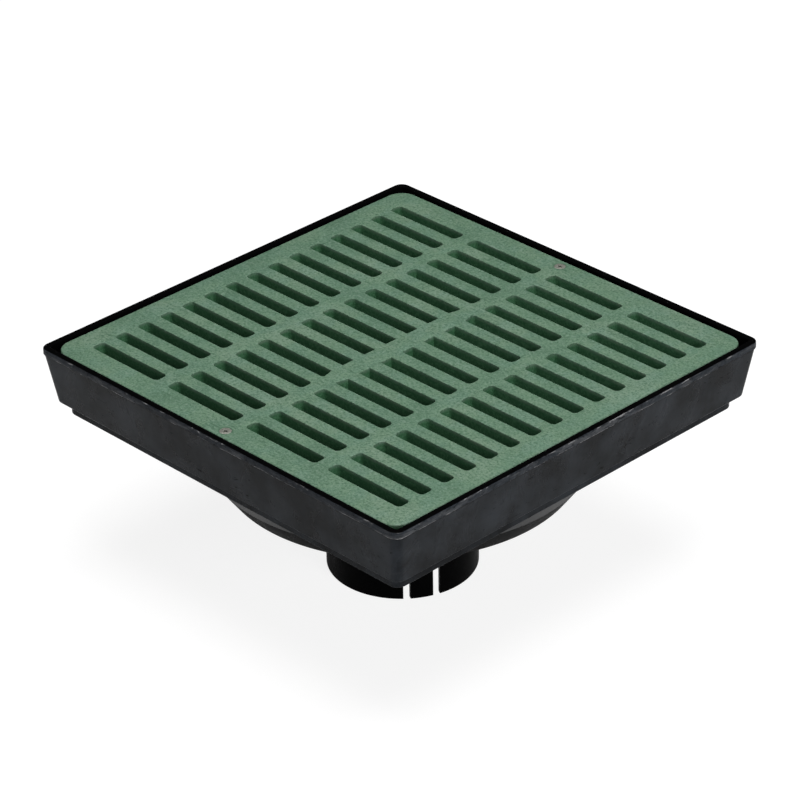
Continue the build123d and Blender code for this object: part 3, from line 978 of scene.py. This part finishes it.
class DRAIN_OT_basin(bpy.types.Operator):
    """Make the moulded basin with its ledge, ribs, dish and slit spigot"""

    bl_idname = "object.drain_basin"
    bl_label = "Make basin"
    bl_options = {"REGISTER", "UNDO"}

    def execute(self, context):
        s = context.scene.drain_basin
        made = mesh_object("moulded_basin", *basin_surface(s))
        combine(made, mesh_object("ribs", *basin_ribs(s)), "UNION")
        combine(made, mesh_object("cutters", *basin_cutters(s)), "DIFFERENCE")
        f = context.scene.drain_finish
        # The rim and the outlet take the darker colour, as painted shade on the rim's top, inside the seat, on the
        # cone and on the spigot
        dress(made, "basin_body", (
            basin_material(f, "basin_walls", f.basin_black, f.wall_sheen, 1.0, 1.0),
            basin_material(f, "basin_rim", f.basin_marks_and_shade, f.rim_sheen, 1.0, 0.0),
            basin_material(f, "basin_dish", f.basin_black, f.dish_sheen, 0.45, 0.0),
            basin_material(f, "basin_outlet", f.basin_marks_and_shade, f.outlet_sheen, 1.0, 0.0),
        ))
        top, low = grate_levels()[0] + context.scene.drain_grate.recess / MM, foot_level(s) - s.step_height / MM
        cone = (s.spigot_reach + s.dish_fall + s.cone_height) / MM
        wide = half_opening() + s.rim_width / MM + PAST
        # The rim's top and the inside of the seat take the rim's painted shade, the cone and the spigot the outlet's
        paint(made, (
            (top - NEAR, top + PAST, wide, 1),
            (grate_levels()[1] - PAST, top + PAST, half_opening() + SUNK, 1),
            (cone, low - SUNK / 10, wide, 2),
            (-PAST, cone, wide, 3),
        ))
        return {"FINISHED"}


class DRAIN_OT_grate(bpy.types.Operator):
    """Make the slotted grate with its fins and countersinks"""

    bl_idname = "object.drain_grate"
    bl_label = "Make grate"
    bl_options = {"REGISTER", "UNDO"}

    def execute(self, context):
        g = context.scene.drain_grate
        made = mesh_object("slotted_grate", *joined([grate_cells(g), grate_flange(g)]))
        combine(made, mesh_object("countersinks", *countersinks()), "DIFFERENCE")
        dress(made, "grate", (grate_material(context.scene.drain_finish),))
        return {"FINISHED"}


class DRAIN_OT_screws(bpy.types.Operator):
    """Make the two countersunk screws"""

    bl_idname = "object.drain_screws"
    bl_label = "Make screws"
    bl_options = {"REGISTER", "UNDO"}

    def execute(self, context):
        made = mesh_object("countersunk_screws", *at_screws(*screw_surface(context.scene.drain_screw)))
        dress(made, "grate_screws", (screw_material(context.scene.drain_finish),))
        return {"FINISHED"}


class DRAIN_OT_stage(bpy.types.Operator):
    """Set up the floor, the lamps and the camera"""

    bl_idname = "object.drain_stage"
    bl_label = "Set the stage"
    bl_options = {"REGISTER", "UNDO"}

    def execute(self, context):
        s = context.scene.drain_stage
        floor = mesh_object("studio_floor", *floor_surface(s.floor_radius / MM, s.backdrop_height / MM))
        floor.data.polygons.foreach_set("use_smooth", np.ones(len(floor.data.polygons), dtype=bool))
        floor.data.materials.append(floor_material(context.scene.drain_finish, s.floor_glow, s.mirror_share))
        lamp("top_lamp", s.top_power, *TOP_LAMP)
        lamp("side_lamp", s.side_power, *SIDE_LAMP)
        world = bpy.data.worlds.new("studio")
        world.use_nodes = True
        world.node_tree.nodes["Background"].inputs["Color"].default_value = (1.0, 1.0, 1.0, 1.0)
        world.node_tree.nodes["Background"].inputs["Strength"].default_value = s.room_level
        context.scene.world = world
        camera = bpy.data.cameras.new("camera")
        camera.lens, camera.sensor_width, camera.clip_end = s.lens, 36.0, 20.0
        made = bpy.data.objects.new("camera", camera)
        made.matrix_world = camera_matrix(s)
        context.scene.collection.objects.link(made)
        context.scene.camera = made
        context.scene.view_settings.view_transform = "Standard"
        return {"FINISHED"}


class DRAIN_PT_panel(bpy.types.Panel):
    """Settings and steps of the drain grate"""

    bl_idname = "DRAIN_PT_panel"
    bl_label = "Drain grate"
    bl_space_type = "VIEW_3D"
    bl_region_type = "UI"
    bl_category = "Drain grate"

    def draw(self, context):
        for operator, settings in (
            ("object.drain_basin", "drain_basin"),
            ("object.drain_grate", "drain_grate"),
            ("object.drain_screws", "drain_screw"),
            ("object.drain_stage", "drain_stage"),
            (None, "drain_finish"),
        ):
            box = self.layout.box()
            if operator:
                box.operator(operator)
            group = getattr(context.scene, settings)
            for name in group.__annotations__:
                box.prop(group, name)


SETTINGS = (
    ("drain_basin", BasinSettings),
    ("drain_grate", GrateSettings),
    ("drain_screw", ScrewSettings),
    ("drain_finish", FinishSettings),
    ("drain_stage", StageSettings),
)
CLASSES = (DRAIN_OT_basin, DRAIN_OT_grate, DRAIN_OT_screws, DRAIN_OT_stage, DRAIN_PT_panel)


def register():
    for name, group in SETTINGS:
        bpy.utils.register_class(group)
        setattr(bpy.types.Scene, name, PointerProperty(type=group))
    for made in CLASSES:
        bpy.utils.register_class(made)


def unregister():
    for made in reversed(CLASSES):
        bpy.utils.unregister_class(made)
    for name, group in reversed(SETTINGS):
        delattr(bpy.types.Scene, name)
        bpy.utils.unregister_class(group)


def main():
    """Makes the object and its stage."""
    register()
    bpy.ops.object.drain_basin()
    bpy.ops.object.drain_grate()
    bpy.ops.object.drain_screws()
    bpy.ops.object.drain_stage()


if __name__ == "__main__":
    main()
